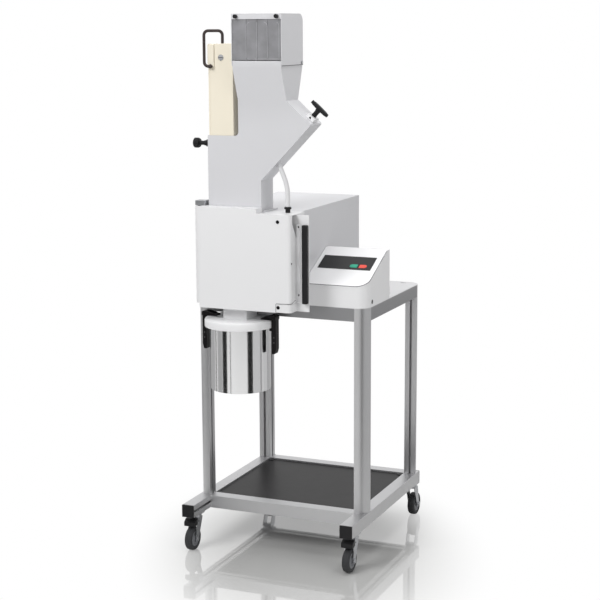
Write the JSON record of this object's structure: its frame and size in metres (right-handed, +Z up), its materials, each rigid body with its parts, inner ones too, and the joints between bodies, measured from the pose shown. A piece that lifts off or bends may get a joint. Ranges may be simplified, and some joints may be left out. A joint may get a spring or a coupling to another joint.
{
  "type": "laboratory cutting mill",
  "caption": "Floor-standing cutting mill on a castor frame, with hinged chamber door, folded hopper, plunger, hood, motor cover, control box and receiver can.",
  "frame": {"origin": "middle of the footprint on the floor", "axes": "+Z up, +Y to the back, +X to the right for someone in front of the door"},
  "size_m": [0.574, 0.7074, 1.675],
  "materials": {
    "anodised_aluminium": "satin anodised",
    "white_paint": "satin powder coat, pale grey-white",
    "table_paint": "satin powder coat, light grey",
    "tool_steel": "machined steel",
    "can_steel": "brushed stainless steel",
    "zinc_steel": "zinc plated steel",
    "motor_metal": "cast motor body, painted",
    "cream_paint": "cream coat on folded sheet, satin",
    "dark_rod": "dark brown coat on a steel rod",
    "black_plastic": "black, satin",
    "black_metal": "black coat on steel",
    "dark_board": "near-black board, slightly glossy",
    "wheel_tyre": "dark grey rubber",
    "seal_rubber": "black rubber",
    "curtain_plastic": null,
    "conduit_plastic": "light grey sleeve",
    "panel_foil": "glossy black key panel",
    "green_key": "green key",
    "red_key": "red key"
  },
  "bodies": {
    "stand": {"legs": "anodised_aluminium", "base_rails": "anodised_aluminium", "table_rails": "anodised_aluminium", "rail_end_caps": "black_plastic", "table_top": "table_paint", "bottom_shelf": "dark_board", "shelf_brackets": "zinc_steel", "castor_mounts": "zinc_steel", "chamber_housing": "white_paint", "cutting_bars": "tool_steel", "bottom_sieve": "tool_steel", "sieve_carrier": "tool_steel", "outlet_neck": "white_paint", "door_seal": "seal_rubber", "door_hinge": "zinc_steel", "motor_cover": "white_paint", "drive_motor": "motor_metal", "shaft_bearings": "tool_steel", "hopper_body": "white_paint", "hood_pin": "zinc_steel", "index_sleeve": "black_plastic", "pusher_guide": "white_paint", "conduit": "conduit_plastic", "conduit_gland": "black_plastic", "control_housing": "white_paint", "key_panel": "panel_foil", "receiver_lid": "white_paint", "lid_gasket": "seal_rubber", "clamp_brackets": "black_metal"},
    "door": {"door_shell": "white_paint", "door_back_plate": "white_paint", "door_handle_frame": "white_paint", "handle_grip": "black_plastic", "door_screws": "black_metal"},
    "hood": {"hood": "white_paint", "curtain_knobs": "black_plastic"},
    "curtain": {"curtain_strips": "curtain_plastic"},
    "plunger": {"plunger_body": "cream_paint", "plunger_handle": "dark_rod"},
    "index_knob": {"index_knob": "black_plastic"},
    "pusher": {"pusher_handle": "black_plastic"},
    "start_key": {"start_key": "green_key"},
    "stop_key": {"stop_key": "red_key"},
    "can": {"receiver_can": "can_steel"},
    "lever_left": {"clamp_lever_left": "black_metal"},
    "lever_right": {"clamp_lever_right": "black_metal"},
    "rotor": {"rotor_shaft": "tool_steel", "cutting_rotor": "tool_steel", "rotor_knives": "tool_steel", "rotor_nut": "tool_steel"},
    "swivel_front_left": {"fork_front_left": "zinc_steel"},
    "roller_front_left": {"wheel_front_left": "wheel_tyre"},
    "pedal_left": {"brake_pedal_left": "black_plastic"},
    "swivel_front_right": {"fork_front_right": "zinc_steel"},
    "roller_front_right": {"wheel_front_right": "wheel_tyre"},
    "pedal_right": {"brake_pedal_right": "black_plastic"},
    "swivel_rear_left": {"fork_rear_left": "zinc_steel"},
    "roller_rear_left": {"wheel_rear_left": "wheel_tyre"},
    "swivel_rear_right": {"fork_rear_right": "zinc_steel"},
    "roller_rear_right": {"wheel_rear_right": "wheel_tyre"}
  },
  "joints": [
    {"name": "door_swing", "type": "hinge", "parent": "stand", "child": "door", "pos_m": [-0.224, -0.27375, 0.95], "axis": [0, 0, -1], "range_deg": [0, 110]},
    {"name": "hood_tilt", "type": "hinge", "parent": "stand", "child": "hood", "pos_m": [-0.0195, -0.15975, 1.53125], "axis": [-1, 0, 0], "range_deg": [0, 95]},
    {"name": "curtain_swing", "type": "hinge", "parent": "hood", "child": "curtain", "pos_m": [-0.0195, -0.30575, 1.664], "axis": [1, 0, 0], "range_deg": [0, 60]},
    {"name": "plunger_slide", "type": "slide", "parent": "stand", "child": "plunger", "axis": [0, 0, -1], "range_m": [0, 0.185]},
    {"name": "index_pull", "type": "slide", "parent": "stand", "child": "index_knob", "axis": [-1, 0, 0], "range_m": [0, 0.008], "stiffness_N_per_m": 400},
    {"name": "pusher_pull", "type": "slide", "parent": "stand", "child": "pusher", "axis": [0.6674, 0, 0.7447], "range_m": [0, 0.1]},
    {"name": "rotor_spin", "type": "hinge", "parent": "stand", "child": "rotor", "pos_m": [-0.113, -0.2, 0.905], "axis": [0, 1, 0], "continuous": true},
    {"name": "start_press", "type": "slide", "parent": "stand", "child": "start_key", "axis": [0, 0.4294, -0.9031], "range_m": [0, 0.001], "stiffness_N_per_m": 1500},
    {"name": "stop_press", "type": "slide", "parent": "stand", "child": "stop_key", "axis": [0, 0.4294, -0.9031], "range_m": [0, 0.001], "stiffness_N_per_m": 1500},
    {"name": "can_lower", "type": "slide", "parent": "stand", "child": "can", "axis": [0, 0, -1], "range_m": [0, 0.21]},
    {"name": "lever_left_swing", "type": "hinge", "parent": "stand", "child": "lever_left", "pos_m": [-0.231, -0.24375, 0.763], "axis": [0, 1, 0], "range_deg": [0, 90]},
    {"name": "lever_right_swing", "type": "hinge", "parent": "stand", "child": "lever_right", "pos_m": [0.005, -0.24375, 0.763], "axis": [0, -1, 0], "range_deg": [0, 90]},
    {"name": "swivel_front_left_turn", "type": "hinge", "parent": "stand", "child": "swivel_front_left", "pos_m": [-0.267, -0.26575, 0.1], "axis": [0, 0, 1], "continuous": true},
    {"name": "roller_front_left_turn", "type": "hinge", "parent": "swivel_front_left", "child": "roller_front_left", "pos_m": [-0.267, -0.29075, 0.0375], "axis": [1, 0, 0], "continuous": true},
    {"name": "pedal_left_press", "type": "hinge", "parent": "swivel_front_left", "child": "pedal_left", "pos_m": [-0.267, -0.27775, 0.092], "axis": [1, 0, 0], "range_deg": [0, 14]},
    {"name": "swivel_front_right_turn", "type": "hinge", "parent": "stand", "child": "swivel_front_right", "pos_m": [0.267, -0.26575, 0.1], "axis": [0, 0, 1], "continuous": true},
    {"name": "roller_front_right_turn", "type": "hinge", "parent": "swivel_front_right", "child": "roller_front_right", "pos_m": [0.267, -0.29075, 0.0375], "axis": [1, 0, 0], "continuous": true},
    {"name": "pedal_right_press", "type": "hinge", "parent": "swivel_front_right", "child": "pedal_right", "pos_m": [0.267, -0.27775, 0.092], "axis": [1, 0, 0], "range_deg": [0, 14]},
    {"name": "swivel_rear_left_turn", "type": "hinge", "parent": "stand", "child": "swivel_rear_left", "pos_m": [-0.267, 0.29125, 0.1], "axis": [0, 0, 1], "continuous": true},
    {"name": "roller_rear_left_turn", "type": "hinge", "parent": "swivel_rear_left", "child": "roller_rear_left", "pos_m": [-0.267, 0.31625, 0.0375], "axis": [1, 0, 0], "continuous": true},
    {"name": "swivel_rear_right_turn", "type": "hinge", "parent": "stand", "child": "swivel_rear_right", "pos_m": [0.267, 0.29125, 0.1], "axis": [0, 0, 1], "continuous": true},
    {"name": "roller_rear_right_turn", "type": "hinge", "parent": "swivel_rear_right", "child": "roller_rear_right", "pos_m": [0.267, 0.31625, 0.0375], "axis": [1, 0, 0], "continuous": true}
  ]
}
